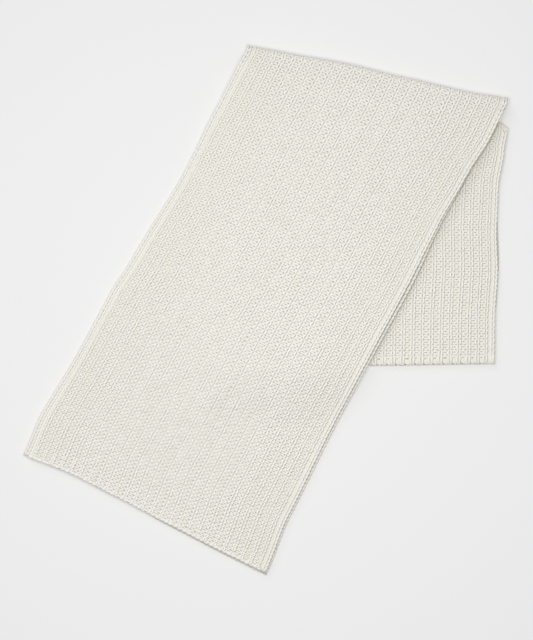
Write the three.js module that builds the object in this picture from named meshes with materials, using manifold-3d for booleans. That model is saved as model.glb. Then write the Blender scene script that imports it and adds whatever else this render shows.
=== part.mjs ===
import * as THREE from 'three';
import { mergeVertices } from 'three/addons/utils/BufferGeometryUtils.js';
import Module from 'manifold-3d';

// A rib-knitted scarf lying on a table, in millimetres. +Z is up, +X right and +Y away from the viewer.
// It is doubled end to end, so that both hems lie together, and the doubled strip is folded over once
// more. From the table up, four layers lie on each other: the first two run straight down from the
// fold to a lip, the third and fourth run down to the left and end in the two hems.

// Driving sizes
const scarfWidth = 300;         // across the ribs, lying relaxed
const topLength = 570;          // of the top stretch, along the ribs, from hem to fold
const clothThickness = 5;       // of one layer, over its ribs
const ribCount = 26;            // across the scarf
const ribHeight = 1.6;          // from the groove between two ribs up to their crowns
const ribShoulder = 0.27;       // of a rib's width, from the groove to the crown
const selvedgeInset = 1.4;      // how far the side edge of a layer is rounded in
const layerGap = 0.45;          // between a layer and the next
const partingGap = 0.3;         // where a stretch that shows is parted from the hidden layers
const foldInnerRadius = 4;      // inside the turn of the outer fold
const creaseInnerRadius = 0.2;  // inside the tight turns of the doubled strip
const turnStub = 6;             // flat cloth past a turn, below the scarf
const hiddenMargin = 30;        // of the under stretch, hidden below the top stretch's right edge

// Where the cloth comes down from the two lower layers to the table
const dropStart = 5;            // beyond their edge
const dropEnd = 60;
const dropCorner = 18;          // rounding of the drop at their corner
const foldSinkReach = 20;       // before the fold, where the top stretch sinks into its turn

// Corners of each stretch on the table
const hemLeft = new THREE.Vector2(-274.7, -163.8);
const hemRight = new THREE.Vector2(-0.7, -297.8);
const foldLeft = new THREE.Vector2(-20.2, 302.2);
const foldRight = new THREE.Vector2(274.3, 242.2);
const lipLeft = new THREE.Vector2(-24.2, -59.8);
const lipRight = new THREE.Vector2(259.3, -57.8);
const creaseLeft = new THREE.Vector2(-18.7, 271.2);
const creaseRight = new THREE.Vector2(275.3, 208.2);
const dropTopCorner = new THREE.Vector2(-24.7, 272.2);

// Each edge waves a little: share of its way, and how far it stands out of the straight line there
const hemWave = [
  { share: 0, out: 0 }, { share: 0.2, out: -4 }, { share: 0.4, out: -3 },
  { share: 0.6, out: -1.5 }, { share: 0.8, out: -0.5 }, { share: 1, out: -1 },
];
const foldWave = [
  { share: 0, out: 0 }, { share: 0.15, out: 0.5 }, { share: 0.38, out: 2.4 },
  { share: 0.6, out: 0 }, { share: 0.85, out: -1.6 }, { share: 1, out: 0 },
];
const topLeftWave = [
  { share: 0, out: 0 }, { share: 0.1, out: 4.5 }, { share: 0.25, out: 2 }, { share: 0.4, out: 2.4 },
  { share: 0.5, out: -0.8 }, { share: 0.7, out: -4.4 }, { share: 0.85, out: -1.5 }, { share: 1, out: 0 },
];
const topRightWave = [
  { share: 0, out: 0 }, { share: 0.12, out: -6.5 }, { share: 0.28, out: -7.8 }, { share: 0.45, out: -7 },
  { share: 0.62, out: -5.6 }, { share: 0.74, out: -6 }, { share: 0.84, out: -2.8 },
  { share: 0.93, out: 1.2 }, { share: 1, out: 0 },
];
const lipWave = [
  { share: 0, out: 0 }, { share: 0.5, out: 1 }, { share: 1, out: 0 },
];
const creaseWave = [
  { share: 0, out: 0 }, { share: 0.9, out: 2 }, { share: 0.965, out: 4 }, { share: 1, out: 0 },
];
const underLeftWave = [
  { share: 0, out: 0 }, { share: 0.5, out: -2 }, { share: 1, out: 0 },
];
const underRightWave = [
  { share: 0, out: 0 }, { share: 0.2, out: -2.2 }, { share: 0.35, out: -2 }, { share: 0.58, out: -6.2 },
  { share: 0.75, out: -6.5 }, { share: 0.9, out: -2.5 }, { share: 1, out: 0 },
];

// Hidden layers show as narrow edges: how far they stand out past the stretch on top of them
const thirdPastRight = [
  { share: 0, out: 2.2 }, { share: 0.4, out: 3.2 }, { share: 0.62, out: 4 },
  { share: 0.74, out: 2 }, { share: 0.84, out: -5 }, { share: 1, out: -6 },
];
const thirdPastHem = [
  { share: 0, out: -3 }, { share: 0.5, out: -1 }, { share: 0.6, out: 2 }, { share: 1, out: 3 },
];
const firstPastRight = [
  { share: 0, out: -4 }, { share: 0.22, out: 2.5 }, { share: 0.6, out: 3.4 },
  { share: 0.84, out: 1 }, { share: 0.95, out: -9 }, { share: 1, out: -12 },
];

// Rows of cross-sections: share of the way, and how many steps; closer where the cloth drops
const topRows = [
  { from: 0, to: 0.24, count: 4 },
  { from: 0.24, to: 0.94, count: 20 },
  { from: 0.94, to: 1, count: 3 },
];
const underRows = [{ from: 0, to: 1, count: 8 }];
const turnRows = 6;
const innerColumns = 16;
const thirdLastRow = 0.945;     // rows of the third layer stop here, just before the crease
const thirdBend = 0.9375;       // right of here its columns leave those of the top stretch

// Filling between the hidden layers, and beside the two lower ones where the third comes down
const coreInset = 14;
const coreWidth = 136;
const fillingGap = 1.5;         // from the lip
const fillingJoin = 4;          // into the left edge of the two lower layers

// Worked out from the sizes above
const pitch = clothThickness + layerGap;
const foldOuterRadius = foldInnerRadius + clothThickness;
const creaseOuterRadius = creaseInnerRadius + clothThickness;
const halfTurn = Math.PI;
const wasm = await Module();
wasm.setup();

// Value of a wave's table at a share of the way, eased from row to row
function waveAt(rows, share) {
  const next = rows.findIndex((row) => row.share > share);
  if (next === -1) return rows[rows.length - 1].out;
  if (next === 0) return rows[0].out;
  const from = rows[next - 1];
  const to = rows[next];
  return THREE.MathUtils.lerp(from.out, to.out, THREE.MathUtils.smoothstep(share, from.share, to.share));
}

// Direction on the table to the left of the way from start to end
function leftOf(start, end) {
  const run = new THREE.Vector2().subVectors(end, start);
  return new THREE.Vector2(-run.y, run.x).normalize();
}

// A waving edge from start to end that stands out to the side given, 1 for its left and -1 for its right
function edge(start, end, side, wave) {
  const outward = leftOf(start, end).multiplyScalar(side);
  return (share) => start.clone().lerp(end, share).addScaledVector(outward, waveAt(wave, share));
}

// A stretch of cloth on the table between its near, far, left and right edge
function patch(near, far, left, right) {
  return (across, way) => left(way).multiplyScalar(1 - across)
    .addScaledVector(right(way), across)
    .addScaledVector(near(across), 1 - way)
    .addScaledVector(far(across), way)
    .addScaledVector(near(0), -(1 - across) * (1 - way))
    .addScaledVector(near(1), -across * (1 - way))
    .addScaledVector(far(0), -(1 - across) * way)
    .addScaledVector(far(1), -across * way);
}

const foldOutward = leftOf(foldLeft, foldRight);
const creaseOutward = leftOf(creaseLeft, creaseRight);
const lipOutward = leftOf(lipRight, lipLeft);

// A turn's outline is drawn a radius outside the line where its cloth leaves the flat
function inside(corner, outward, radius) {
  return corner.clone().addScaledVector(outward, -radius);
}

const topFarLeft = inside(foldLeft, foldOutward, foldOuterRadius);
const topFarRight = inside(foldRight, foldOutward, foldOuterRadius);
const underNearLeft = inside(lipLeft, lipOutward, creaseOuterRadius);
const underNearRight = inside(lipRight, lipOutward, creaseOuterRadius);
const underFarLeft = inside(creaseLeft, creaseOutward, creaseOuterRadius);
const underFarRight = inside(creaseRight, creaseOutward, creaseOuterRadius);

// The top stretch from its hem to the outer fold, and the under stretch from its lip to the crease
const topPlan = patch(
  edge(hemLeft, hemRight, -1, hemWave),
  edge(topFarLeft, topFarRight, 1, foldWave),
  edge(hemLeft, topFarLeft, 1, topLeftWave),
  edge(hemRight, topFarRight, -1, topRightWave),
);
const creaseLine = edge(underFarLeft, underFarRight, 1, creaseWave);
const underPlan = patch(
  edge(underNearLeft, underNearRight, -1, lipWave),
  creaseLine,
  edge(underNearLeft, underFarLeft, 1, underLeftWave),
  edge(underNearRight, underFarRight, -1, underRightWave),
);

// Height that the two lower layers hold the third one at; it comes down to the table beyond them
function heldHeight(point) {
  const pastLeft = point.clone().sub(lipLeft).dot(leftOf(dropTopCorner, lipLeft));
  const pastLip = point.clone().sub(lipLeft).dot(lipOutward) * -1;
  const corner = Math.max(dropCorner - Math.abs(pastLeft - pastLip), 0) / dropCorner;
  const within = Math.min(pastLeft, pastLip) - corner * corner * dropCorner * 0.25;
  return 2 * pitch * THREE.MathUtils.smoothstep(within, -dropEnd, -dropStart);
}

// Height of the top stretch's inner face, which sinks into the turn of the fold
function topInnerHeight(point, way) {
  const flat = heldHeight(point) + pitch;
  const sunk = foldOuterRadius + foldInnerRadius;
  return THREE.MathUtils.lerp(sunk, flat, THREE.MathUtils.smoothstep((1 - way) * topLength, 0, foldSinkReach));
}

// A cross-section of one layer is a closed loop of spots: the share of the width, the height above
// the inner face, and whether the spot lies in a groove. The outer face runs left to right, the plain
// inner face comes back, and one spot stands out at each selvedge.
const edgeShare = selvedgeInset / scarfWidth;

function plainFace(height, inner) {
  const face = [];
  for (let column = 0; column <= innerColumns; column += 1) {
    const share = THREE.MathUtils.lerp(edgeShare, 1 - edgeShare, column / innerColumns);
    face.push({ share, height, groove: 0, inner });
  }
  return face;
}

function ribbedFace() {
  const face = [];
  for (let rib = 0; rib < ribCount; rib += 1) {
    face.push({ share: Math.max(rib / ribCount, edgeShare / 2), height: clothThickness, groove: 1 });
    face.push({ share: (rib + ribShoulder) / ribCount, height: clothThickness, groove: 0 });
    face.push({ share: (rib + 1 - ribShoulder) / ribCount, height: clothThickness, groove: 0 });
  }
  face.push({ share: 1 - edgeShare / 2, height: clothThickness, groove: 1 });
  return face;
}

function section(outerFace) {
  const left = { share: 0, height: clothThickness / 2, groove: 0 };
  const right = { share: 1, height: clothThickness / 2, groove: 0 };
  return [left, ...outerFace, right, ...plainFace(0, true).reverse()];
}

const ribbedSection = section(ribbedFace());
const plainSection = section(plainFace(clothThickness, false));

// Faces across the open end of a section, each joining neighbours of its outer and inner face
function endFaces(loop) {
  const turnBack = loop.findIndex((spot) => spot.share === 1);
  const outer = loop.slice(0, turnBack + 1).map((spot, index) => index);
  const inner = [0];
  for (let spot = loop.length - 1; spot >= turnBack; spot -= 1) inner.push(spot);
  const faces = [];
  let above = 0;
  let below = 0;
  while (above + 1 < outer.length || below + 1 < inner.length) {
    const nextAbove = above + 1 < outer.length ? loop[outer[above + 1]].share : Infinity;
    const nextBelow = below + 1 < inner.length ? loop[inner[below + 1]].share : Infinity;
    const stepAbove = nextAbove <= nextBelow;
    faces.push([outer[above], inner[below], stepAbove ? outer[above + 1] : inner[below + 1]]);
    above += stepAbove ? 1 : 0;
    below += stepAbove ? 0 : 1;
  }
  return faces.filter((face) => new Set(face).size === 3);
}

// A closed solid through rows that share one section; place(spot, row) gives each point
function loft(loop, rows, place) {
  const count = loop.length;
  const points = rows.flatMap((row) => loop.map((spot) => place(spot, row)));
  const faces = [];
  for (let row = 0; row + 1 < rows.length; row += 1) {
    for (let spot = 0; spot < count; spot += 1) {
      const a = row * count + spot;
      const b = row * count + (spot + 1) % count;
      // The inner face comes back, so its quads are split the other way, in line with the layer below
      if (loop[spot].inner) faces.push([a, b, a + count], [b, b + count, a + count]);
      else faces.push([a, b, b + count], [a, b + count, a + count]);
    }
  }
  const lastRow = (rows.length - 1) * count;
  for (const [a, b, c] of endFaces(loop)) {
    faces.push([a, b, c], [a + lastRow, c + lastRow, b + lastRow]);
  }
  const geometry = new THREE.BufferGeometry();
  const positions = points.flatMap((point) => point.toArray());
  geometry.setAttribute('position', new THREE.Float32BufferAttribute(positions, 3));
  geometry.setIndex(faces.flat());
  return geometry;
}

function flatRows(table) {
  const rows = [{ way: table[0].from, turn: 0, stub: 0 }];
  for (const { from, to, count } of table) {
    for (let step = 1; step <= count; step += 1) {
      rows.push({ way: THREE.MathUtils.lerp(from, to, step / count), turn: 0, stub: 0 });
    }
  }
  return rows;
}

// Rows round half a turn at one end of a stretch, and on for a stub below it
function turnedRows(way, stub) {
  const rows = [];
  for (let step = 1; step <= turnRows; step += 1) {
    rows.push({ way, turn: halfTurn * step / turnRows, stub: 0 });
  }
  if (stub > 0) rows.push({ way, turn: halfTurn, stub });
  return rows;
}

// A point of a turn: 0 at its top, half a turn at its bottom
function turnedPoint(base, outward, centreHeight, turn, radius) {
  const flat = base.clone().addScaledVector(outward, Math.sin(turn) * radius);
  return new THREE.Vector3(flat.x, flat.y, centreHeight + Math.cos(turn) * radius);
}

// Ribs die out where the cloth turns under, so that it rests flat
function spotHeight(spot, turn) {
  const ribs = 1 - THREE.MathUtils.smoothstep(turn, halfTurn * 0.45, halfTurn * 0.8);
  return spot.height - spot.groove * ribHeight * ribs;
}

// The fourth layer and the outer fold
function topStretch() {
  const rows = [...flatRows(topRows), ...turnedRows(1, turnStub)];
  return loft(ribbedSection, rows, (spot, row) => {
    const base = topPlan(spot.share, row.way).addScaledVector(foldOutward, -row.stub);
    const height = spotHeight(spot, row.turn);
    if (row.turn === 0) return new THREE.Vector3(base.x, base.y, topInnerHeight(base, row.way) + height);
    return turnedPoint(base, foldOutward, foldOuterRadius, row.turn, foldInnerRadius + height);
  });
}

// The second layer with the lip at its near end and the crease inside the fold at its far end
function underWall(loop, stub) {
  const rows = [
    ...turnedRows(0, stub).reverse().map((row) => ({ ...row, lip: true })),
    ...flatRows(underRows),
    ...turnedRows(1, 0),
  ];
  return loft(loop, rows, (spot, row) => {
    const base = underPlan(spot.share, row.way);
    if (row.lip) {
      base.addScaledVector(lipOutward, -row.stub);
      const radius = creaseInnerRadius + spotHeight(spot, row.turn);
      return turnedPoint(base, lipOutward, creaseOuterRadius, row.turn, radius);
    }
    const height = spotHeight(spot, 0);
    if (row.turn === 0) return new THREE.Vector3(base.x, base.y, pitch + height);
    const centreHeight = pitch + creaseOuterRadius;
    return turnedPoint(base, creaseOutward, centreHeight, halfTurn - row.turn, creaseOuterRadius - height);
  });
}

// Solids are cut and joined from closed geometry with merged corners
function solidOf(geometry) {
  const bare = geometry.clone();
  for (const name of ['normal', 'uv']) bare.deleteAttribute(name);
  const merged = mergeVertices(bare);
  return new wasm.Manifold(new wasm.Mesh({
    numProp: 3,
    vertProperties: merged.getAttribute('position').array,
    triVerts: Uint32Array.from(merged.getIndex().array),
  }));
}

function geometryOf(solid) {
  const mesh = solid.getMesh();
  const geometry = new THREE.BufferGeometry();
  geometry.setAttribute('position', new THREE.BufferAttribute(mesh.vertProperties, 3));
  geometry.setIndex(new THREE.BufferAttribute(mesh.triVerts, 1));
  return geometry;
}

function block(outline, low, high) {
  const options = { depth: high - low, bevelEnabled: false };
  const geometry = new THREE.ExtrudeGeometry(new THREE.Shape(outline), options);
  return solidOf(geometry.translate(0, 0, low));
}

// The table on one side of a line inside the top stretch's right edge: 1 for its left, -1 for its right
function tableBeside(inset, side) {
  const beyond = 2 * scarfWidth;
  const left = leftOf(hemRight, foldRight);
  const along = new THREE.Vector2().subVectors(foldRight, hemRight);
  const near = hemRight.clone().addScaledVector(left, inset);
  const far = near.clone().addScaledVector(along, 2);
  const outline = [
    near,
    far,
    far.clone().addScaledVector(left, side * beyond),
    near.clone().addScaledVector(left, side * beyond),
  ];
  return block(outline, -beyond, beyond);
}

function underStretch() {
  const wall = solidOf(underWall(ribbedSection, turnStub));
  return geometryOf(wall.intersect(tableBeside(hiddenMargin, -1)));
}

// The lowest layer, between the stub of the lip and the stub of the outer fold
function firstLayer() {
  const lipEnd = turnStub + partingGap;
  const foldEnd = foldOuterRadius + turnStub + partingGap;
  const foldLine = edge(foldLeft, foldRight, 1, foldWave);
  return solidOf(loft(plainSection, flatRows(underRows), (spot, row) => {
    const across = spot.share * (1 + waveAt(firstPastRight, row.way) / scarfWidth);
    const near = underPlan(across, 0);
    const far = foldLine(across).addScaledVector(foldOutward, -foldEnd);
    const sideways = underPlan(across, row.way).sub(near.clone().lerp(underPlan(across, 1), row.way));
    const base = near.clone().addScaledVector(lipOutward, -lipEnd).lerp(far, row.way).add(sideways);
    return new THREE.Vector3(base.x, base.y, spot.height);
  }));
}

// The space of the two lower layers, which the third one's filling keeps clear of at the lip and joins
// at their left edge
function pairSpace() {
  const nearLeft = lipLeft.clone().addScaledVector(lipOutward, fillingGap);
  const nearRight = nearLeft.clone().add(new THREE.Vector2(2 * scarfWidth, 0));
  const upLeft = new THREE.Vector2().subVectors(creaseLeft, lipLeft).multiplyScalar(2);
  const outline = [nearLeft, nearRight, nearRight.clone().add(upLeft), nearLeft.clone().add(upLeft)];
  const moved = outline.map((corner) => corner.clone().add(new THREE.Vector2(fillingJoin, 0)));
  return block(moved, -clothThickness, 2 * pitch);
}

// The third layer, below the top stretch, from its own hem to the crease. Its inner face reaches down
// to the table but at its two selvedges, so that no hollow is left beside the two lower layers.
function thirdLayer() {
  const pastCrease = (point) => point.sub(creaseLine(0.5)).dot(creaseOutward) + partingGap;
  const rows = flatRows(topRows).filter((row) => row.way < thirdLastRow);
  rows.push({ way: 1 });
  const wall = solidOf(loft(plainSection, rows, (spot, row) => {
    const bend = Math.max(spot.share - thirdBend, 0) / (1 - thirdBend);
    const across = spot.share + bend * waveAt(thirdPastRight, row.way) / scarfWidth;
    let { way } = row;
    if (way === 0) way = -waveAt(thirdPastHem, across) / topLength;
    if (way === 1) {
      const before = pastCrease(topPlan(across, thirdLastRow));
      const beyond = pastCrease(topPlan(across, 1));
      way = THREE.MathUtils.mapLinear(0, before, beyond, thirdLastRow, 1);
    }
    const base = topPlan(across, way);
    const filled = spot.inner && spot.share > edgeShare && spot.share < 1 - edgeShare;
    return new THREE.Vector3(base.x, base.y, filled ? 0 : heldHeight(base) + spot.height);
  }));
  return wall.subtract(pairSpace());
}

// Filling that joins the hidden layers, well inside their edges
function core() {
  const near = underPlan(0, 0).add(new THREE.Vector2(coreInset, coreInset));
  const far = underPlan(0, 1).add(new THREE.Vector2(coreInset, -coreInset));
  const acrossLip = new THREE.Vector2(coreWidth, 0);
  const acrossCrease = new THREE.Vector2(creaseOutward.y, -creaseOutward.x).multiplyScalar(coreWidth);
  const outline = [near, near.clone().add(acrossLip), far.clone().add(acrossCrease), far];
  return block(outline, clothThickness / 2, 2 * pitch + clothThickness / 2);
}

function hiddenLayers() {
  const turns = solidOf(underWall(plainSection, 2 * turnStub));
  const second = turns.add(core()).intersect(tableBeside(hiddenMargin + partingGap, 1));
  return geometryOf(second.add(firstLayer()).add(thirdLayer()));
}

// Undyed wool white, matt
const wool = { color: 0xe9e5d8, roughness: 0.95, metalness: 0 };

function stretch(name, geometry) {
  const mesh = new THREE.Mesh(geometry, new THREE.MeshStandardMaterial(wool));
  mesh.name = name;
  return mesh;
}

const scarf = new THREE.Group();
scarf.add(stretch('top_stretch', topStretch()));
scarf.add(stretch('under_stretch', underStretch()));
scarf.add(stretch('hidden_layers', hiddenLayers()));

export default scarf;
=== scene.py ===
import math
import bpy
import numpy as np
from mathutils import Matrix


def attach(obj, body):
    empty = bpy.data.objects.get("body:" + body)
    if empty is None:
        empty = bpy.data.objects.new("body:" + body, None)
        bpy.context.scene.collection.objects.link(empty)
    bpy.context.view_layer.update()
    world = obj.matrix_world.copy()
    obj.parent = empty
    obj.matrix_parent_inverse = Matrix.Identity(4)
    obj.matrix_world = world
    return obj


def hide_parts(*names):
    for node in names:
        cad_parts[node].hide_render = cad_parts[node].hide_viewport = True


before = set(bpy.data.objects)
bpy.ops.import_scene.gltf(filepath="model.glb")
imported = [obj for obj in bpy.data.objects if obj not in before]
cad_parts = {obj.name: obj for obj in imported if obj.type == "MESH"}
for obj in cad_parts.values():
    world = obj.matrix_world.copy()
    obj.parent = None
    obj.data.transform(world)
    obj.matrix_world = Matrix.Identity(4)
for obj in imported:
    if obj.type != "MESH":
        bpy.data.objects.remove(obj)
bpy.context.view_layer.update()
bpy.ops.object.select_all(action="DESELECT")

mm = 0.001  # the sizes below are in millimetres, and the meshes in metres
rng = np.random.default_rng(26)

scarf = {
    "width": 300,            # across the ribs
    "topLength": 570,        # of the top stretch, from hem to fold
    "thickness": 5,          # of one layer, over its stitches
    "ribs": 26,
    "layerGap": 0.45,
    "foldInner": 4,          # inside radius of the outer fold
    "creaseInner": 0.2,      # inside radius of the tight turns of the doubled strip
    "turnStub": 6,           # flat cloth past a turn, below the scarf
    "hiddenMargin": 30,      # of the under stretch, below the top stretch
    "partingGap": 0.3,
    "dropStart": 2,          # where the cloth leaves the two lower layers
    "dropEnd": 78,           # and where it reaches the table
    "dropCorner": 18,
    "dropRounding": 0.25,
    "foldSink": 20,          # before the fold, where the top stretch sinks into its turn
    "creaseEase": 0.7,       # how flat the crease lies at its right end, where it comes out of the pile
    "creaseEased": (0.88, 0.97),  # between these shares of the width
    "lipReach": 5,           # how far the soft turn of the lip goes past a round one
    "lipRound": 0.6,         # power that makes the lip fuller than a round turn
    "thirdBent": 0.9375,     # share of the width past which the third layer's edge is drawn in or out
    "thirdHemBent": 0.1,     # share of its way from the hem where the hem is drawn in or out
    "thirdCurl": 1.5,        # how far the third layer's bare edges curl up
    "thirdCurled": 0.98,     # past this share of the width
    "hemCurled": 3,          # and this near to the hem
    "middle": (0.06, 0.28),  # shares from a side between which the knit comes to lie spread flat
    "selvedge": 0.02,        # share of the width outside the outermost ribs
    "ribSqueeze": 0.2,       # how much narrower the ribs are at the very sides
    "squeezeReach": 1.3,     # in ribs
}
corners = {
    "hemLeft": (-274.7, -163.8), "hemRight": (-0.7, -297.8),
    "foldLeft": (-20.2, 302.2), "foldRight": (274.3, 242.2),
    "lipLeft": (-24.2, -59.8), "lipRight": (259.3, -57.8),
    "creaseLeft": (-18.7, 271.2), "creaseRight": (275.3, 208.2),
    "dropTop": (-24.7, 272.2),
}
corners = {name: np.array(place, dtype=float) for name, place in corners.items()}
waves = {  # how far each edge stands out of its straight line, at shares of its way
    "hem": {"share": (0, 0.2, 0.4, 0.6, 0.8, 1), "out": (-0.5, -5, -4.3, -3, -2.1, -2.2)},
    "fold": {"share": (0, 0.15, 0.38, 0.6, 0.85, 1), "out": (0, 0.5, 2.4, 0, -1.6, 0)},
    "topLeft": {
        "share": (0, 0.1, 0.25, 0.4, 0.5, 0.7, 0.85, 1), "out": (0, 4.5, 2, 2.4, -0.8, -4.4, -1.5, 0)},
    "topRight": {
        "share": (0, 0.12, 0.28, 0.45, 0.62, 0.74, 0.84, 0.93, 1),
        "out": (0, -6.5, -7.8, -7, -5.6, -6, -2.8, 1.2, 0)},
    "lip": {"share": (0, 0.5, 1), "out": (0, 1, 0)},
    "crease": {"share": (0, 0.9, 0.965, 1), "out": (0, 2, 4, 0)},
    "underLeft": {"share": (0, 0.5, 1), "out": (0, -2, 0)},
    "underRight": {
        "share": (0, 0.2, 0.35, 0.58, 0.75, 0.9, 1), "out": (0, -2.2, -2, -6.2, -6.5, -2.5, 0)},
    "thirdPastRight": {"share": (0, 0.4, 0.62, 0.74, 0.84, 1), "out": (2.2, 3.2, 4, 2.5, 1, 1)},
    "thirdPastHem": {"share": (0, 0.4, 0.6, 1), "out": (-3, -1, 1.3, 1.7)},
    "firstPastRight": {"share": (0, 0.22, 0.6, 0.84, 0.95, 1), "out": (-4, 2.5, 3.4, 1, -9, -12)},
}
pitch = scarf["thickness"] + scarf["layerGap"]
foldOuter = scarf["foldInner"] + scarf["thickness"]
creaseOuter = scarf["creaseInner"] + scarf["thickness"]
ribPitch = scarf["width"] / scarf["ribs"]


def smoothStep(value, low, high):
    part = np.clip((value - low) / (high - low), 0, 1)
    return part * part * (3 - 2 * part)


def waveAt(wave, share):
    shares, outs = np.array(wave["share"]), np.array(wave["out"])
    row = np.clip(np.searchsorted(shares, share, side="right"), 1, len(shares) - 1)
    eased = smoothStep(share, shares[row - 1], shares[row])
    return outs[row - 1] + (outs[row] - outs[row - 1]) * eased


def leftOf(start, end):
    run = end - start
    return np.array((-run[1], run[0])) / np.hypot(*run)


def edgeLine(start, end, side, wave):  # side is 1 where the wave stands out to the left of the way
    outward = leftOf(start, end) * side

    def at(share):
        share = np.asarray(share, dtype=float)[..., None]
        return start + (end - start) * share + outward * waveAt(wave, share)

    return at


def patch(near, far, left, right):  # a stretch of cloth between its four edges
    def at(across, way):
        a, w = np.asarray(across, dtype=float)[..., None], np.asarray(way, dtype=float)[..., None]
        sides = left(way) * (1 - a) + right(way) * a + near(across) * (1 - w) + far(across) * w
        fromNear = (near(0) * (1 - a) + near(1) * a) * (1 - w)
        return sides - fromNear - (far(0) * (1 - a) + far(1) * a) * w

    return at


foldOutward = leftOf(corners["foldLeft"], corners["foldRight"])
creaseOutward = leftOf(corners["creaseLeft"], corners["creaseRight"])
lipOutward = leftOf(corners["lipRight"], corners["lipLeft"])
topEnds = [corners[name] - foldOutward * foldOuter for name in ("foldLeft", "foldRight")]
underNear = [corners[name] - lipOutward * creaseOuter for name in ("lipLeft", "lipRight")]
underFar = [corners[name] - creaseOutward * creaseOuter for name in ("creaseLeft", "creaseRight")]
topPlan = patch(
    edgeLine(corners["hemLeft"], corners["hemRight"], -1, waves["hem"]),
    edgeLine(topEnds[0], topEnds[1], 1, waves["fold"]),
    edgeLine(corners["hemLeft"], topEnds[0], 1, waves["topLeft"]),
    edgeLine(corners["hemRight"], topEnds[1], -1, waves["topRight"]),
)
underPlan = patch(
    edgeLine(underNear[0], underNear[1], -1, waves["lip"]),
    edgeLine(underFar[0], underFar[1], 1, waves["crease"]),
    edgeLine(underNear[0], underFar[0], 1, waves["underLeft"]),
    edgeLine(underNear[1], underFar[1], -1, waves["underRight"]),
)
foldLine = edgeLine(corners["foldLeft"], corners["foldRight"], 1, waves["fold"])


def ribLengths(plan):  # length of the cloth along its ribs, by share of the width
    shares, ways = np.linspace(0, 1, 41), np.linspace(0, 1, 60)
    lengths = []
    for share in shares:
        line = plan(np.full_like(ways, share), ways)
        lengths.append(np.hypot(*np.diff(line, axis=0).T).sum())
    return lambda across: np.interp(across, shares, lengths)


topLengthAt = ribLengths(topPlan)
underLengthAt = ribLengths(underPlan)

lie = {  # soft ridges and troughs of the top stretch: where, how wide and how high
    "from": ((-150, -20), (60, 120), (-60, -180), (40, 0), (120, 250), (-10, 210)),
    "to": ((-60, 150), (170, 200), (60, -60), (110, 90), (200, 150), (30, 100)),
    "width": (26, 34, 30, 24, 22, 28),
    "height": (0.9, 0.8, 0.9, -0.7, 0.8, -0.6),
}


def lieAt(plan):
    lift = np.zeros(plan.shape[:-1])
    for start, end, width, height in zip(lie["from"], lie["to"], lie["width"], lie["height"]):
        start, run = np.array(start), np.subtract(end, start)
        share = np.clip((plan - start) @ run / (run @ run), 0, 1)[..., None]
        gap = np.linalg.norm(plan - (start + run * share), axis=-1)
        lift += height * np.exp(-(gap / width) ** 2)
    return lift


def heldHeight(plan):  # height that the two lower layers hold the third one at
    pastLeft = (plan - corners["lipLeft"]) @ leftOf(corners["dropTop"], corners["lipLeft"])
    pastLip = -(plan - corners["lipLeft"]) @ lipOutward
    corner = np.clip(scarf["dropCorner"] - np.abs(pastLeft - pastLip), 0, None) / scarf["dropCorner"]
    rounding = corner ** 2 * scarf["dropCorner"] * scarf["dropRounding"]
    within = np.minimum(pastLeft, pastLip) - rounding
    return 2 * pitch * smoothStep(within, -scarf["dropEnd"], -scarf["dropStart"])


turnRadius = {"fold": 7.2, "crease": 3.2}  # where the cloth keeps its length in a turn


def fromSides(across):
    return np.minimum(across, 1 - across)


def middleOf(across):  # 1 where the knit is spread flat and its grooves nearly vanish
    return smoothStep(fromSides(across), *scarf["middle"])


def placeTop(across, along, height):
    length = topLengthAt(across)
    base = topPlan(across, np.minimum(along / length, 1))
    past = along - length
    turn = np.clip(past / turnRadius["fold"], 0, math.pi)
    stub = np.maximum(past - math.pi * turnRadius["fold"], 0)
    radius = scarf["foldInner"] + height
    settled = smoothStep(-past, 0, scarf["foldSink"])
    turned = foldOuter + scarf["foldInner"]
    inner = turned + (heldHeight(base) + pitch - turned) * settled
    plan = base + foldOutward * (np.sin(turn) * radius - stub)[..., None]
    z = np.where(past > 0, foldOuter + np.cos(turn) * radius, inner + height + lieAt(base) * settled)
    return np.concatenate((plan, z[..., None]), axis=-1)


def placeUnder(across, along, height):
    length = underLengthAt(across)
    base = underPlan(across, np.clip(along / length, 0, 1))
    lipTurn = np.clip(-along / turnRadius["crease"], 0, math.pi)
    stub = np.maximum(-along - math.pi * turnRadius["crease"], 0)
    creaseTurn = np.clip((along - length) / turnRadius["crease"], 0, math.pi)
    lipRadius, creaseRadius = scarf["creaseInner"] + height, creaseOuter - height
    out = (np.sin(lipTurn) * (lipRadius + scarf["lipReach"]) - stub)[..., None] * lipOutward
    plan = base + out + (np.sin(creaseTurn) * creaseRadius)[..., None] * creaseOutward
    lipUp = np.cos(lipTurn)
    lipZ = creaseOuter + np.sign(lipUp) * np.abs(lipUp) ** scarf["lipRound"] * lipRadius
    rise = creaseOuter - height - np.cos(creaseTurn) * creaseRadius
    creaseZ = pitch + height + rise * (1 - scarf["creaseEase"] * smoothStep(across, *scarf["creaseEased"]))
    z = np.where(along < 0, lipZ, np.where(along > length, creaseZ, pitch + height))
    return np.concatenate((plan, z[..., None]), axis=-1)


def placeThird(across, along, height):
    bend = np.clip((across - scarf["thirdBent"]) / (1 - scarf["thirdBent"]), 0, None)
    way = along / topLengthAt(across)
    wide = across + bend * waveAt(waves["thirdPastRight"], way) / scarf["width"]
    nearHem = smoothStep(-way, -scarf["thirdHemBent"], 0)
    way = way - waveAt(waves["thirdPastHem"], across) / scarf["topLength"] * nearHem
    base = topPlan(wide, way)
    sideBare = smoothStep(across, scarf["thirdCurled"], 1)
    hemBare = smoothStep(-along, -scarf["hemCurled"], 0)
    z = heldHeight(base) + height + scarf["thirdCurl"] * np.maximum(sideBare, hemBare)
    return np.concatenate((base, z[..., None]), axis=-1)


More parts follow.
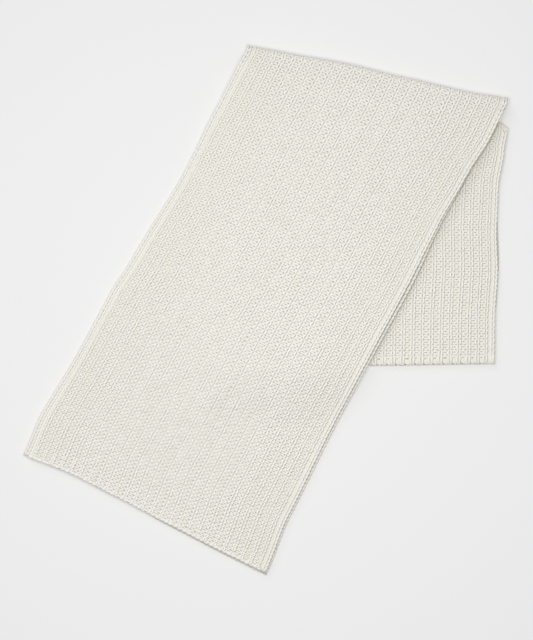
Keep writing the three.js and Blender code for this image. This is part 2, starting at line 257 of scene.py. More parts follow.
def placeFirst(across, way, height):
    wide = across * (1 + waveAt(waves["firstPastRight"], way) / scarf["width"])
    near, far = underPlan(wide, np.zeros_like(wide)), underPlan(wide, np.ones_like(wide))
    w = np.asarray(way)[..., None]
    sideways = underPlan(wide, way) - (near + (far - near) * w)
    start = near - lipOutward * (scarf["turnStub"] + scarf["partingGap"])
    end = foldLine(wide) - foldOutward * (foldOuter + scarf["turnStub"] + scarf["partingGap"])
    base = start + (end - start) * w + sideways
    return np.concatenate((base, height[..., None]), axis=-1)


print("plan of the four layers is ready")


class Wire:
    def __init__(self, bench, socket):
        self.bench, self.socket = bench, socket

    def math(self, operation, first, second=0.0):
        node = self.bench.add("ShaderNodeMath", {"operation": operation}, {0: first, 1: second})
        return Wire(self.bench, node.outputs[0])

    def __add__(self, other):
        return self.math("ADD", self, other)

    def __radd__(self, other):
        return self.math("ADD", other, self)

    def __sub__(self, other):
        return self.math("SUBTRACT", self, other)

    def __rsub__(self, other):
        return self.math("SUBTRACT", other, self)

    def __mul__(self, other):
        return self.math("MULTIPLY", self, other)

    def __rmul__(self, other):
        return self.math("MULTIPLY", other, self)

    def __abs__(self):
        return self.math("ABSOLUTE", self)

    def sine(self):
        return self.math("SINE", self)

    def fraction(self):
        return self.math("FRACT", self)

    def clipped(self, low, high):
        return self.math("MINIMUM", self.math("MAXIMUM", self, low), high)


class ShaderBench:
    def __init__(self, name):
        self.material = bpy.data.materials.new(name)
        self.material.use_nodes = True
        self.tree = self.material.node_tree
        self.shader = self.tree.nodes["Principled BSDF"]

    def add(self, kind, settings=None, inputs=None):
        node = self.tree.nodes.new(kind)
        for key, value in (settings or {}).items():
            setattr(node, key, value)
        for key, value in (inputs or {}).items():
            self.feed(node.inputs[key], value)
        return node

    def feed(self, socket, value):
        if isinstance(value, Wire):
            self.tree.links.new(value.socket, socket)
        else:
            socket.default_value = value

    def wire(self, node, name):
        return Wire(self, node.outputs[name])

    def mixColour(self, factor, first, second):
        node = self.add("ShaderNodeMix", {"data_type": "RGBA"}, {"Factor": factor, 6: first, 7: second})
        return Wire(self, node.outputs[2])


yarn = {
    "light": (0.935, 0.93, 0.88, 1),
    "warm": (0.915, 0.9, 0.84, 1),
    "paintedShadeColour": (0.84, 0.75, 0.59, 1),  # painted shade: the tan drawn down between the stitches, where shade falls
    "roughness": 0.92,
    "sheen": 0.25,
    "specular": 0.2,
    "plies": 3,
    "twist": 1.6,                   # turns of the plies along one stitch
    "plyRelief": 0.5,
    "bump": 0.35,
    "bumpDepth": 0.6,
    "patches": 70,                  # scale of the patches of warmer wool
    "warmth": {"patch": 0.6, "stitch": 0.5, "fibre": 0.4, "less": 0.25},
    "fibres": {"round": 9, "slant": 5, "along": 2, "wander": 9, "scale": 2.2},
}
groundWool = {  # bare cloth between the stitches, with a faint print of stitches of its own in bump and in painted shade
    "fine": 900,                    # scale of its grain
    "warmth": {"patch": 0.8, "grain": 0.4, "less": 0.1},
    "rowSlant": 1.7,
    "legPlace": 0.2,                # in ribs from the rib's middle
    "legSharpness": 6,
    "linkDip": 1.2,
    "crownPaintedShade": (1.6, 4),           # painted shade in the holes, falls to nothing towards the groove
    "groovePaintedShade": (3.2, 8),          # and rises again in it, as painted shade in the groove
    "grooveShare": 0.4,
    # painted shade off the stitches' print, and in the holes
    "paintedShade": 0.2,
    "holePaintedShade": 0.5,
    "relief": 2.5,
    "fineRelief": 0.4,
}


def finishWool(bench, colourShare, paintedShadeShare, height):
    colour = bench.mixColour(colourShare, yarn["light"], yarn["warm"])
    # painted shade: mixes in the tan shade colour where shade falls down in the cloth
    colour = bench.mixColour(paintedShadeShare, colour, yarn["paintedShadeColour"])
    bench.feed(bench.shader.inputs["Base Color"], colour)
    bench.shader.inputs["Roughness"].default_value = yarn["roughness"]
    bench.shader.inputs["Sheen Weight"].default_value = yarn["sheen"]
    bench.shader.inputs["Specular IOR Level"].default_value = yarn["specular"]
    bump = bench.add("ShaderNodeBump", {}, {
        "Strength": yarn["bump"], "Distance": yarn["bumpDepth"] * mm, "Height": height})
    bench.feed(bench.shader.inputs["Normal"], bench.wire(bump, "Normal"))
    return bench.material


def noiseWire(bench, place, scale, detail):
    noise = bench.add("ShaderNodeTexNoise", {}, {"Vector": place, "Scale": scale, "Detail": detail})
    return bench.wire(noise, "Fac")


def yarnMaterial():
    bench = ShaderBench("cream wool yarn")
    place = bench.wire(bench.add("ShaderNodeTexCoord"), "Object")
    patchy = noiseWire(bench, place, yarn["patches"], 3)
    along = bench.add("ShaderNodeUVMap", {"uv_map": "yarn"})
    parts = bench.add("ShaderNodeSeparateXYZ", {}, {0: bench.wire(along, "UV")})
    girth, length = bench.wire(parts, "X"), bench.wire(parts, "Y")
    ply = ((girth * yarn["plies"] + length * yarn["twist"]) * (2 * math.pi)).sine()
    fibre = yarn["fibres"]
    stretched = bench.add("ShaderNodeCombineXYZ", {}, {
        0: girth * fibre["round"] + length * fibre["slant"],
        1: length * fibre["along"],
        2: patchy * fibre["wander"]})
    fibres = noiseWire(bench, bench.wire(stretched, "Vector"), fibre["scale"], 3)
    # painted shade, which knit stores on the stitches' points
    depth = bench.wire(bench.add("ShaderNodeAttribute", {"attribute_name": "depth"}), "Fac")
    shade = bench.wire(bench.add("ShaderNodeAttribute", {"attribute_name": "shade"}), "Fac")
    warmth = yarn["warmth"]
    warm = patchy * warmth["patch"] + shade * warmth["stitch"] + fibres * warmth["fibre"]
    colourShare = (warm - warmth["less"]).clipped(0, 1)
    return finishWool(bench, colourShare, depth, ply * yarn["plyRelief"] + fibres)


def groundMaterial():
    bench = ShaderBench("cream wool ground")
    place = bench.wire(bench.add("ShaderNodeTexCoord"), "Object")
    patchy = noiseWire(bench, place, yarn["patches"], 3)
    fine = noiseWire(bench, place, groundWool["fine"], 2)
    chart = bench.add("ShaderNodeUVMap", {"uv_map": "chart"})
    parts = bench.add("ShaderNodeSeparateXYZ", {}, {0: bench.wire(chart, "UV")})
    fromMiddle = abs(bench.wire(parts, "X").fraction() - 0.5)  # of the rib
    row = (bench.wire(parts, "Y") - fromMiddle * groundWool["rowSlant"]).fraction()
    legPrint = (1 - abs(fromMiddle - groundWool["legPlace"]) * groundWool["legSharpness"]).clipped(0, 1)
    link = 1 - abs(row - 0.5) * groundWool["linkDip"]
    crownTop, crownFall = groundWool["crownPaintedShade"]
    grooveStart, grooveRise = groundWool["groovePaintedShade"]
    inGroove = (fromMiddle * grooveRise - grooveStart).clipped(0, 1)
    # painted shade in the holes between the legs and in the groove
    hole = (crownTop - fromMiddle * crownFall).clipped(0, 1) + inGroove * groundWool["grooveShare"]
    warmth = groundWool["warmth"]
    colourShare = (patchy * warmth["patch"] + fine * warmth["grain"] - warmth["less"]).clipped(0, 1)
    paintedShadeShare = (1 - legPrint * link) * groundWool["paintedShade"] + hole * groundWool["holePaintedShade"]
    relief = legPrint * link * groundWool["relief"] + fine * groundWool["fineRelief"]
    return finishWool(bench, colourShare, paintedShadeShare, relief)


materials = {"yarn": yarnMaterial(), "ground": groundMaterial()}


def makeMesh(name, points, faces, uvName, uvs, values, material):
    mesh = bpy.data.meshes.new(name)
    mesh.from_pydata((points * mm).tolist(), [], faces)
    mesh.uv_layers.new(name=uvName).data.foreach_set("uv", uvs.astype(np.float32).ravel())
    for key, value in values.items():
        mesh.attributes.new(key, "FLOAT", "POINT").data.foreach_set("value", value.astype(np.float32).ravel())
    mesh.shade_smooth()
    mesh.materials.append(materials[material])
    piece = bpy.data.objects.new(name, mesh)
    bpy.context.scene.collection.objects.link(piece)
    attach(piece, "root")
    return piece


def strand(path, wide, high, sides):  # one closed length of yarn, pointed at both ends
    path = np.array(path, dtype=float)
    tangent = np.gradient(path, axis=0)
    tangent /= np.linalg.norm(tangent, axis=1)[:, None]
    side = np.cross(tangent, (0, 0, 1))
    side /= np.linalg.norm(side, axis=1)[:, None]
    upright = np.cross(side, tangent)
    angles = np.arange(sides) * 2 * math.pi / sides
    rings = len(path) - 2
    points = [path[0]]
    for ring in range(1, rings + 1):
        for angle in angles:
            sideways = side[ring] * math.cos(angle) * wide[ring - 1]
            upward = upright[ring] * math.sin(angle) * high[ring - 1]
            points.append(path[ring] + (sideways + upward))
    points.append(path[-1])
    faces, uvs = [], []
    for step in range(sides):
        turn, nextStep = step / sides, (step + 1) % sides
        nextTurn = (step + 1) / sides
        faces.append((0, 1 + step, 1 + nextStep))
        uvs.extend(((turn, 0), (turn, 1 / (rings + 1)), (nextTurn, 1 / (rings + 1))))
        for ring in range(rings - 1):
            a, b = 1 + ring * sides, 1 + (ring + 1) * sides
            low, up = (ring + 1) / (rings + 1), (ring + 2) / (rings + 1)
            faces.append((a + step, b + step, b + nextStep, a + nextStep))
            uvs.extend(((turn, low), (turn, up), (nextTurn, up), (nextTurn, low)))
        last = 1 + (rings - 1) * sides
        faces.append((len(points) - 1, last + nextStep, last + step))
        uvs.extend(((nextTurn, 1), (nextTurn, rings / (rings + 1)), (turn, rings / (rings + 1))))
    return {"points": np.array(points), "faces": faces, "uvs": np.array(uvs)}


def together(strands):
    points, faces, uvs, start = [], [], [], 0
    for one in strands:
        points.append(one["points"])
        faces.extend(tuple(corner + start for corner in face) for face in one["faces"])
        uvs.append(one["uvs"])
        start += len(one["points"])
    return {"points": np.concatenate(points), "faces": faces, "uvs": np.concatenate(uvs)}


uneven = {  # how much the stitches differ, and the painted shade that darkens their wool with depth
    "size": 0.03,
    "place": (0.13, 0.15, 0.1),
    "paintedShadeFrom": 3.8,          # height in the cloth below which painted shade turns them tan
    "paintedShadeOver": 1.2,
    "paintedShadeMost": 0.35,
}


# copies of one stitch, each in its seat; clear is how much less painted shade they get in the middle of the
# cloth
def knit(name, stitch, seats, toCloth, place, slot, loose=1.0, paintedShade=0.0, clear=0.0):
    count, size = len(seats), len(stitch["points"])
    local = stitch["points"][None] * (1 + rng.normal(0, uneven["size"] * loose, (count, 1, 1)))
    local = local + rng.normal(0, loose, (count, 1, 3)) * uneven["place"]
    across, along, height = toCloth(seats, local)
    points = place(across, along, height).reshape(-1, 3)
    faces = [tuple(corner + start for corner in face)
             for start in range(0, count * size, size) for face in stitch["faces"]]
    uvs = np.tile(stitch["uvs"], (count, 1))
    shade = np.repeat(rng.random(count), size)
    # painted shade: points lower in the cloth are drawn tan, where shade falls between the stitches
    sunk = np.clip((uneven["paintedShadeFrom"] - local[..., 2]) / uneven["paintedShadeOver"], 0, 1)
    depth = uneven["paintedShadeMost"] * sunk + paintedShade - clear * middleOf(across)
    values = {"shade": shade, "depth": np.clip(depth, 0, 1).ravel()}
    return makeMesh(name, points, faces, "yarn", uvs, values, "yarn")


gauge = {
    "rowPitch": 5.7,                                   # the drawn stitch's, scaled where rows are closer
    "along": (0, 60, 150, 330, 520, 700),              # from the hem
    "pitchThere": (4.5, 4.7, 5.2, 5.7, 6.0, 6.0),
    "topWay": (4.2, 650),                              # of the rows, first and last
    "underWay": (-18, 340),
    "underPitch": 5.9,
    "creaseStart": 2.5,
    "creaseRibs": 4,
    "creaseRows": 2,
    "hemRow": -0.45,
    "closedRows": 3,                                   # next to the hem, where no holes show
    "thirdSides": 0.8,                                 # share of the rows that its sides have stitches on
    "firstRows": 61,
    "turnedShare": 0.8,                                # of a turn, as far as it has stitches
    "purlFill": 0.45,                                  # how far the bars rise where the knit lies flat
    "drift": {"ribs": 0.03, "perRow": 0.13, "perRib": 1.9},
    "smoothFold": (-17, -1),
    "smoothLip": (-1, 3),
    "smoothHeight": 3.35,
    "smoothShare": 0.85,
}
stitchForm = {
    "sides": 6,
    "legShare": (0, 0.12, 0.3, 0.5, 0.7, 0.88, 1),
    "legOut": (0.55, 0.9, 1.55, 2.15, 1.6, 1, 0.7),
    "legRise": (2.9, 3.4, 3.65, 3.65, 3.5, 3.15, 2.8),
    "legTaper": (0.9, 1, 1, 1, 0.9),
    "legStart": -0.66,                                 # in rows
    "legLength": 1.3,
    "legWide": 1.5,
    "legHigh": 0.52,
    "closedSpread": 0.78,
    "barShare": (-1, -0.72, 0, 0.72, 1),
    "barTaper": (0.9, 1, 0.9),
    "barReach": 4.5,
    "barLift": 0.25,                                   # in rows
    "barBend": (0.3, 1.5),
    "barRise": (3.3, 0.7),
    "barWide": 1.65,
    "barHigh": 0.2,                                    # share of its width
    # the bars lie down in the grooves and get more painted shade; barClear takes some of it off in the middle
    "barLook": {"loose": 0.35, "paintedShade": 0.17},
    "barClear": 0.07,
}
edgeForm = {
    "sideTaper": (0.85, 1, 1, 0.85),
    "sideWide": 1.6,
    "sideHigh": 0.45,                                  # share of its width
    "sideOut": 0.2,
    "sideLength": 0.8,                                 # in rows
    "sideLift": (0.5, 0.6),
    "sideLegs": ((0, 0.5, 2.6), (2.9, -0.6, 2.8)),     # how far in, how slanted and how high
    "hemTaper": (0.85, 1, 0.85),
    "hemWide": 2,
    "hemHigh": 0.5,                                    # share of its width
    "hemReach": 0.36,                                  # in ribs
    "hemSlant": 0.6,
    "hemRise": (3, 0.5),
    # the edges' strands get less painted shade than their height alone gives them
    "look": {"loose": 0.5, "paintedShade": -0.1},
}


def rowTable(first, last, pitchAt):
    rows = [first]
    while rows[-1] < last:
        rows.append(rows[-1] + pitchAt(rows[-1]))
    return np.array(rows)


topRows = rowTable(*gauge["topWay"], lambda along: np.interp(along, gauge["along"], gauge["pitchThere"]))
underRows = rowTable(*gauge["underWay"], lambda along: gauge["underPitch"])

ribPlaces = np.arange(scarf["ribs"] + 1)
ribsFromSide = np.minimum(ribPlaces[1:], ribPlaces[::-1][:-1]) - 0.5
ribWidths = 1 - scarf["ribSqueeze"] * np.exp(-ribsFromSide / scarf["squeezeReach"])
ribShares = np.concatenate(((0,), np.cumsum(ribWidths))) / ribWidths.sum()
ribShares = scarf["selvedge"] + (1 - 2 * scarf["selvedge"]) * ribShares


def ribPlaceAt(across):  # from a share of the width to a place counted in ribs
    return np.interp(across, ribShares, ribPlaces)


def shareAt(ribPlace):  # and back, on past the outermost ribs
    past = ribPlace - np.clip(ribPlace, 0, scarf["ribs"])
    return np.interp(ribPlace, ribPlaces, ribShares) + past / scarf["ribs"]


def noFold(across, along):
    return 0.0


def nearFold(across, along):  # 1 where the cloth is drawn smooth round the fold
    return smoothStep(along - topLengthAt(across), *gauge["smoothFold"])


def nearLip(across, along):  # the same for the lip of the under stretch
    return smoothStep(-along, *gauge["smoothLip"])


def clothOf(rows, fill=0.0, smoothed=noFold):  # from a stitch's own place to a place on the cloth
    drift = gauge["drift"]

    def at(seats, local):
        rib, row = seats[:, None, 0], seats[:, None, 1]
        wander = drift["ribs"] * np.sin(row * drift["perRow"] + rib * drift["perRib"])
        across = shareAt(rib + 0.5 + local[..., 0] / ribPitch + wander)
        rowPlace = row + local[..., 1] / gauge["rowPitch"]
        along = np.interp(rowPlace, np.arange(len(rows)), rows) + np.minimum(rowPlace, 0) * gauge["rowPitch"]
        height = local[..., 2] + fill * middleOf(across)
        flattened = gauge["smoothShare"] * smoothed(across, along)
        return across, along, height + (gauge["smoothHeight"] - height) * flattened

    return at


def onCrease(seats, local):  # the same for the back of the cloth, where it turns up and over
    across = shareAt(seats[:, None, 0] + 0.5 - local[..., 0] / ribPitch)
    start = underLengthAt(across) + gauge["creaseStart"]
    along = start + seats[:, None, 1] * gauge["underPitch"] + local[..., 1]
    return across, along, scarf["thickness"] - local[..., 2]


def leg(side, spread):
    share = np.array(stitchForm["legShare"])
    x = side * np.array(stitchForm["legOut"]) * spread
    y = (stitchForm["legStart"] + stitchForm["legLength"] * share) * gauge["rowPitch"]
    taper = np.array(stitchForm["legTaper"])
    path = np.column_stack((x, y, stitchForm["legRise"]))
    return strand(path, taper * stitchForm["legWide"], taper * stitchForm["legHigh"], stitchForm["sides"])


def purl(bend, lift):  # one of the two bars of a purl stitch
    share = np.array(stitchForm["barShare"])
    bow, bowFall = stitchForm["barBend"]
    crest, crestFall = stitchForm["barRise"]
    x = ribPitch / 2 + share * stitchForm["barReach"]
    y = lift * gauge["rowPitch"] + bend * (bow - bowFall * share ** 2)
    z = crest - crestFall * share ** 2
    wide = np.array(stitchForm["barTaper"]) * stitchForm["barWide"]
    return strand(np.column_stack((x, y, z)), wide, wide * stitchForm["barHigh"], stitchForm["sides"])


def sideLink(side):  # slipped stitch of a selvedge, a leg along the edge and one beside it
    share = np.linspace(-1, 1, len(edgeForm["sideTaper"]) + 2)
    wide = np.array(edgeForm["sideTaper"]) * edgeForm["sideWide"]
    lift, fall = edgeForm["sideLift"]
    links = []
    for inward, lean, height in edgeForm["sideLegs"]:
        x = side * (edgeForm["sideOut"] - inward + lean * share)
        y = share * edgeForm["sideLength"] * gauge["rowPitch"]
        z = height + lift * share - fall * share ** 2
        path = np.column_stack((x, y, z))
        links.append(strand(path, wide, wide * edgeForm["sideHigh"], stitchForm["sides"]))
    return together(links)


def hemLink():  # stitch of a cast-off hem, lying along it
    share = np.linspace(-1, 1, len(edgeForm["hemTaper"]) + 2)
    crest, crestFall = edgeForm["hemRise"]
    x = share * edgeForm["hemReach"] * ribPitch
    y = edgeForm["hemSlant"] * share
    z = crest - crestFall * share ** 2
    wide = np.array(edgeForm["hemTaper"]) * edgeForm["hemWide"]
    return strand(np.column_stack((x, y, z)), wide, wide * edgeForm["hemHigh"], stitchForm["sides"])


stitch = together([leg(side, 1) for side in (-1, 1)])
closedStitch = together([leg(side, stitchForm["closedSpread"]) for side in (-1, 1)])
bars = together([purl(bend, bend * stitchForm["barLift"]) for bend in (1, -1)])
leftSeat = -0.5 - scarf["selvedge"] * scarf["ribs"] + edgeForm["sideWide"] / ribPitch
edgeSeat = {"left": leftSeat, "right": scarf["ribs"] - 1 - leftSeat}


def sideSeats(side, rows):
    return np.column_stack((np.full(len(rows), edgeSeat[side]), rows)).astype(float)


def hemSeats():  # two to a rib
    places = np.arange(0, scarf["ribs"] * 2) / 2 - 0.25
    return np.column_stack((places, np.full(len(places), gauge["hemRow"])))


def seatGrid(ribs, rows):
    rib, row = np.meshgrid(ribs, rows)
    return np.column_stack((rib.ravel(), row.ravel())).astype(float)


def stitchedTurn(turn):  # length of the cloth in a turn, as far as it has stitches
    return math.pi * gauge["turnedShare"] * turnRadius[turn]


def onTop(seats):
    along = np.interp(seats[:, 1], np.arange(len(topRows)), topRows)
    return along < topLengthAt(shareAt(seats[:, 0] + 0.5)) + stitchedTurn("fold")


allRibs = np.arange(scarf["ribs"])
topCloth = clothOf(topRows, smoothed=nearFold)
barLook, edgeLook = stitchForm["barLook"], edgeForm["look"]
topSeats = seatGrid(allRibs, np.arange(len(topRows)))
topSeats = topSeats[onTop(topSeats)]
firstOpen, halfWay = gauge["closedRows"], len(topRows) // 2
topHem = topSeats[topSeats[:, 1] < firstOpen]
topNear = topSeats[(topSeats[:, 1] >= firstOpen) & (topSeats[:, 1] < halfWay)]
topFar = topSeats[topSeats[:, 1] >= halfWay]
topGrooves = topSeats[topSeats[:, 0] < scarf["ribs"] - 1]
topSides = {side: sideSeats(side, np.arange(len(topRows))) for side in ("left", "right")}
topSides = {side: seats[onTop(seats)] for side, seats in topSides.items()}
topPieces = [
    knit("topHemKnit", closedStitch, topHem, topCloth, placeTop, "knit_top"),
    knit("topKnitNear", stitch, topNear, topCloth, placeTop, "knit_top"),
    knit("topKnitFar", stitch, topFar, topCloth, placeTop, "knit_top"),
    knit("topPurl", bars, topGrooves, clothOf(topRows, gauge["purlFill"], nearFold), placeTop, "knit_top",
         clear=stitchForm["barClear"], **barLook),
    knit("topLeftSelvedge", sideLink(-1), topSides["left"], topCloth, placeTop, "knit_top", **edgeLook),
    knit("topRightSelvedge", sideLink(1), topSides["right"], topCloth, placeTop, "knit_top", **edgeLook),
    knit("topHemEdge", hemLink(), hemSeats(), topCloth, placeTop, "knit_top", **edgeLook),
]
print("top stretch knitted:", len(topSeats), "stitches")

partingNormal = leftOf(corners["hemRight"], corners["foldRight"])
clearOf = {"parting": 8, "crease": 3}  # how far the stitches stay from the parted edge and the crease


def hiddenDepth(plan):  # how far a place lies inside the top stretch's right edge, straight across
    return (plan - corners["hemRight"]) @ partingNormal


def onUnder(seats):
    along = np.interp(seats[:, 1], np.arange(len(underRows)), underRows)
    share = shareAt(seats[:, 0] + 0.5)
    length = underLengthAt(share)
    base = underPlan(share, np.clip(along / length, 0, 1))
    shown = hiddenDepth(base) < scarf["hiddenMargin"] - clearOf["parting"]
    return shown & (along > -stitchedTurn("crease")) & (along < length - clearOf["crease"])


underSeats = seatGrid(allRibs, np.arange(len(underRows)))
underSeats = underSeats[onUnder(underSeats)]
underGrooves = underSeats[underSeats[:, 0] < scarf["ribs"] - 1]
underSide = sideSeats("right", np.arange(len(underRows)))
underSide = underSide[onUnder(underSide)]
creaseSeats = seatGrid(allRibs[-gauge["creaseRibs"]:], np.arange(gauge["creaseRows"]))
underCloth = clothOf(underRows, smoothed=nearLip)
underPieces = [
    knit("underKnit", stitch, underSeats, underCloth, placeUnder, "knit_under"),
    knit("underPurl", bars, underGrooves, underCloth, placeUnder, "knit_under", **barLook),
    knit("underSelvedge", sideLink(1), underSide, underCloth, placeUnder, "knit_under", **edgeLook),
    knit("creaseKnit", stitch, creaseSeats, onCrease, placeUnder, "knit_under"),
]
print("under stretch knitted:", len(underSeats), "stitches")

thirdRows = np.arange(int(len(topRows) * gauge["thirdSides"]))
firstRows = np.linspace(0, 1, gauge["firstRows"])
firstSide = np.arange(1, len(firstRows) - 1)
lowerPieces = [
    knit("thirdLeftSelvedge", sideLink(-1), sideSeats("left", thirdRows), topCloth, placeThird,
         "knit_hidden", **edgeLook),
    knit("thirdRightSelvedge", sideLink(1), sideSeats("right", thirdRows), topCloth, placeThird,
         "knit_hidden", **edgeLook),
    knit("thirdHemEdge", hemLink(), hemSeats(), topCloth, placeThird, "knit_hidden", **edgeLook),
    knit("firstRightSelvedge", sideLink(1), sideSeats("right", firstSide), clothOf(firstRows), placeFirst,
         "knit_hidden", **edgeLook),
]


def quads(a, b, c, d):
    return np.stack((a.ravel(), b.ravel(), c.ravel(), d.ravel()), axis=1)


def shell(place, shares, ways, low, high, chart):  # a thin closed shell; its rows are lists of ways
    across = np.array(shares)
    along = np.array(ways)
    outer = place(across, along, high(across, along))
    inner = place(across, along, low(across, along))
    rows, columns = across.shape
    points = np.concatenate((outer.reshape(-1, 3), inner.reshape(-1, 3)))
    charted = np.concatenate((chart(across, along).reshape(-1, 2),) * 2)
    index = np.arange(rows * columns).reshape(rows, columns)
    under = index + rows * columns
    faces = np.concatenate((
        quads(index[:-1, :-1], index[:-1, 1:], index[1:, 1:], index[1:, :-1]),
        quads(under[:-1, :-1], under[1:, :-1], under[1:, 1:], under[:-1, 1:]),
        quads(index[:-1, 0], index[1:, 0], under[1:, 0], under[:-1, 0]),
        quads(index[:-1, -1], under[:-1, -1], under[1:, -1], index[1:, -1]),
        quads(under[0, :-1], under[0, 1:], index[0, 1:], index[0, :-1]),
        quads(under[-1, :-1], index[-1, :-1], index[-1, 1:], under[-1, 1:]),
    ))
    return {"points": points, "faces": faces.tolist(), "uvs": charted[faces.ravel()]}


def shellPiece(name, parts):
    whole = together(parts)
    return makeMesh(name, whole["points"], whole["faces"], "chart", whole["uvs"], {}, "ground")


def ribbedShares(perRib):
    return np.linspace(0, 1, scarf["ribs"] * perRib + 1)


ground = {  # heights in one layer, and between which places they change
    "low": 0.2,
    "edge": 2.3,
    "bareEdge": 2.1,
    "groove": 3,
    "crown": 3.15,           # below the stitches, where the holes between their legs go down
    "covered": 4.8,
    "lip": 3.3,
    "ribFlanks": (0.15, 0.85),
    "pastSelvedge": (0.012, 0.028),
    "lowEdge": (-0.002, 0.006),
    "coveredEdge": (0.008, 0.022),
    "atLip": (-3, 1),
    "atCrease": (-3, 2),
    "atHem": (2, 8),
    "lipChart": (6, 0.15),   # up to where the lip has no print of stitches, and its one place in a rib, which also sets the lip's painted shade
}


def ribLevel(across, along):  # the ground that the stitches stand on
    wave = 0.5 - 0.5 * np.cos(ribPlaceAt(across) * 2 * math.pi)
    level = ground["groove"] + (ground["crown"] - ground["groove"]) * smoothStep(wave, *ground["ribFlanks"])
    inside = smoothStep(fromSides(across), *ground["pastSelvedge"])
    return ground["edge"] + (level - ground["edge"]) * inside


def lippedLevel(across, along):  # the same for the under stretch, which is smooth round its lip
    level = ribLevel(across, along)
    return level + (ground["lip"] - level) * smoothStep(-along, *ground["atLip"])


def lowLevel(across, along):
    inside = smoothStep(fromSides(across), *ground["lowEdge"])
    return ground["edge"] - (ground["edge"] - ground["low"]) * inside


def creaseLevel(across, along):  # the low face, which turns outward in the crease and carries stitches there
    past = smoothStep(along - underLengthAt(across), *ground["atCrease"])
    return lowLevel(across, along) + (scarf["thickness"] - ground["crown"] - ground["low"]) * past


def coveredLevel(across, along):  # under other layers, and lower where an edge comes out from under them
    inside = smoothStep(fromSides(across), *ground["coveredEdge"])
    return ground["bareEdge"] + (ground["covered"] - ground["bareEdge"]) * inside


def hemmedLevel(across, along):
    past = smoothStep(along, *ground["atHem"])
    return ground["bareEdge"] + (coveredLevel(across, along) - ground["bareEdge"]) * past


def chartOf(rows):  # places on the cloth counted in ribs and rows
    def at(across, along):
        rowPlace = np.interp(along, rows, np.arange(len(rows)))
        return np.stack((ribPlaceAt(across), rowPlace), axis=-1)

    return at


def lippedChart(across, along):  # without a print of stitches round the lip, and with an even painted shade there
    lipEnd, lipPlace = ground["lipChart"]
    chart = chartOf(underRows)(across, along)
    chart[..., 0] = np.where(along < lipEnd, lipPlace, chart[..., 0])
    return chart


meshSteps = {  # across one rib or the width, and along the cloth
    "topPerRib": 6,
    "topRows": 116,
    "foldRows": 10,
    "shownColumns": 96,
    "hiddenColumns": 40,
    "underRows": 60,
    "creaseRows": 8,
    "lowerPerRib": 4,
    "thirdRows": 100,
    "firstRows": 60,
}


def topShell():
    shares = ribbedShares(meshSteps["topPerRib"])
    lengths = topLengthAt(shares)
    rows = [lengths * way for way in np.linspace(0, 1, meshSteps["topRows"])]
    steps = meshSteps["foldRows"]
    rows += [lengths + math.pi * turnRadius["fold"] * step / steps for step in range(1, steps + 1)]
    rows.append(rows[-1] + scarf["turnStub"])
    ways = np.array(rows)
    return shell(placeTop, np.tile(shares, (len(ways), 1)), ways, lowLevel, ribLevel, chartOf(topRows))


topStretch = shellPiece("topStretch", [topShell()])
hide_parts("top_stretch")


def partingShare(along):  # share of the width where the under stretch is parted from its hidden part
    shares = np.linspace(0, 1, 401)
    base = underPlan(shares, np.clip(along / underLengthAt(shares), 0, 1))
    depth = hiddenDepth(base) - scarf["hiddenMargin"]
    return float(np.interp(0, -depth, shares))


parting = {  # in shares of the width
    "gap": 0.001,            # between the part that shows and the hidden part
    "measuredAt": 0.7,       # where the length gives the way along the parting
}


def partedShares(along, visible):
    parted = partingShare(along)
    if visible:
        return np.linspace(parted, 1, meshSteps["shownColumns"])
    return np.linspace(0, parted - parting["gap"], meshSteps["hiddenColumns"])


def underShell(visible):
    meanLength = float(underLengthAt(np.array(parting["measuredAt"])))
    turn, steps = math.pi * turnRadius["crease"], meshSteps["creaseRows"]
    alongs = [-turn - scarf["turnStub"]]
    alongs += [-turn * step / steps for step in range(steps, 0, -1)]
    shares = [partedShares(0, visible) for along in alongs]
    rows = [np.full_like(share, along) for share, along in zip(shares, alongs)]
    for way in np.linspace(0, 1, meshSteps["underRows"]):
        shares.append(partedShares(way * meanLength, visible))
        rows.append(underLengthAt(shares[-1]) * way)
    for step in range(1, steps + 1):
        shares.append(shares[-1])
        rows.append(underLengthAt(shares[-1]) + turn * step / steps)
    low, high = (creaseLevel, lippedLevel) if visible else (lowLevel, coveredLevel)
    return shell(placeUnder, shares, rows, low, high, lippedChart)


underStretch = shellPiece("underStretch", [underShell(True)])
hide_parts("under_stretch")


thirdEnd = 0.945  # share of the third layer's way from its hem, up to where it lies inside the fold


def thirdShell():
    shares = ribbedShares(meshSteps["lowerPerRib"])
    rows = [topLengthAt(shares) * way for way in np.linspace(0, thirdEnd, meshSteps["thirdRows"])]
    return shell(placeThird, np.tile(shares, (len(rows), 1)), rows, lowLevel, hemmedLevel, chartOf(topRows))


def firstShell():
    shares = ribbedShares(meshSteps["lowerPerRib"])
    ways = np.linspace(0, 1, meshSteps["firstRows"])
    across, rows = np.tile(shares, (len(ways), 1)), np.tile(ways[:, None], (1, len(shares)))
    return shell(placeFirst, across, rows, lowLevel, coveredLevel, chartOf(firstRows))


lowerLayers = shellPiece("lowerLayers", [firstShell(), underShell(False), thirdShell()])
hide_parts("hidden_layers")
print("shells of the layers made")

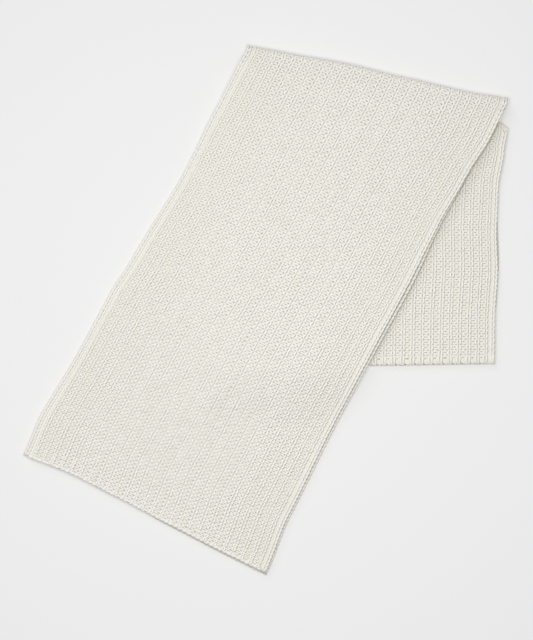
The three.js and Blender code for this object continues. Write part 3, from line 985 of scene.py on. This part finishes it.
camera = {
    "pixel": 1.136,            # of the photograph, on the table
    "image": (533, 640),
    "centre": (0.9, -10.9),
    "distance": 4000,
    "sensor": 36,
    "clipEnd": 50,             # in metres
}
viewHeight = camera["pixel"] * camera["image"][1]
cameraData = bpy.data.cameras.new("camera")
cameraData.sensor_width = camera["sensor"]
cameraData.lens = camera["sensor"] * camera["distance"] / viewHeight
cameraData.clip_end = camera["clipEnd"]
cameraObject = bpy.data.objects.new("camera", cameraData)
cameraObject.location = (camera["centre"][0] * mm, camera["centre"][1] * mm, camera["distance"] * mm)
bpy.context.scene.collection.objects.link(cameraObject)
bpy.context.scene.camera = cameraObject

studio = {
    "floor": (0.5, 0.5, 0.5, 1),
    "floorGlow": 0.385,          # of the floor itself, which keeps the shadows on it light
    "floorSize": 30,
    "floorDepth": 0.0003,        # below the scarf
    "floorRoughness": 0.9,
    "sky": (1, 1, 1, 1),
    "skyStrength": 0.34,
    "overhead": {"place": (-0.06, 0.03, 1.27), "size": 0.45, "power": 8.3},
    "side": {"from": (-0.5, 0.75, 0.85), "power": 0.65, "spread": 36},  # spread in degrees
}
bpy.ops.mesh.primitive_plane_add(size=studio["floorSize"], location=(0, 0, -studio["floorDepth"]))
floor = bpy.context.object
floor.name = "floor"
floorBench = ShaderBench("pale floor")
floorBench.shader.inputs["Base Color"].default_value = studio["floor"]
floorBench.shader.inputs["Roughness"].default_value = studio["floorRoughness"]
floorBench.shader.inputs["Specular IOR Level"].default_value = 0
floorBench.shader.inputs["Emission Color"].default_value = (1, 1, 1, 1)
floorBench.shader.inputs["Emission Strength"].default_value = studio["floorGlow"]
floor.data.materials.append(floorBench.material)

world = bpy.data.worlds.new("studio")
world.use_nodes = True
sky = world.node_tree.nodes["Background"]
sky.inputs["Color"].default_value = studio["sky"]
sky.inputs["Strength"].default_value = studio["skyStrength"]
bpy.context.scene.world = world

bpy.ops.object.light_add(type="AREA", location=studio["overhead"]["place"])  # it faces straight down
overhead = bpy.context.object
overhead.name = "overhead"
overhead.data.size = studio["overhead"]["size"]
overhead.data.energy = studio["overhead"]["power"]
bpy.ops.object.light_add(type="SUN", location=studio["side"]["from"])
sideLight = bpy.context.object
sideLight.name = "side"
sideLight.data.energy = studio["side"]["power"]
sideLight.data.angle = math.radians(studio["side"]["spread"])
sideLight.rotation_euler = (-sideLight.location).to_track_quat("-Z", "Y").to_euler()
bpy.context.scene.view_settings.view_transform = "Standard"
print("studio set up")
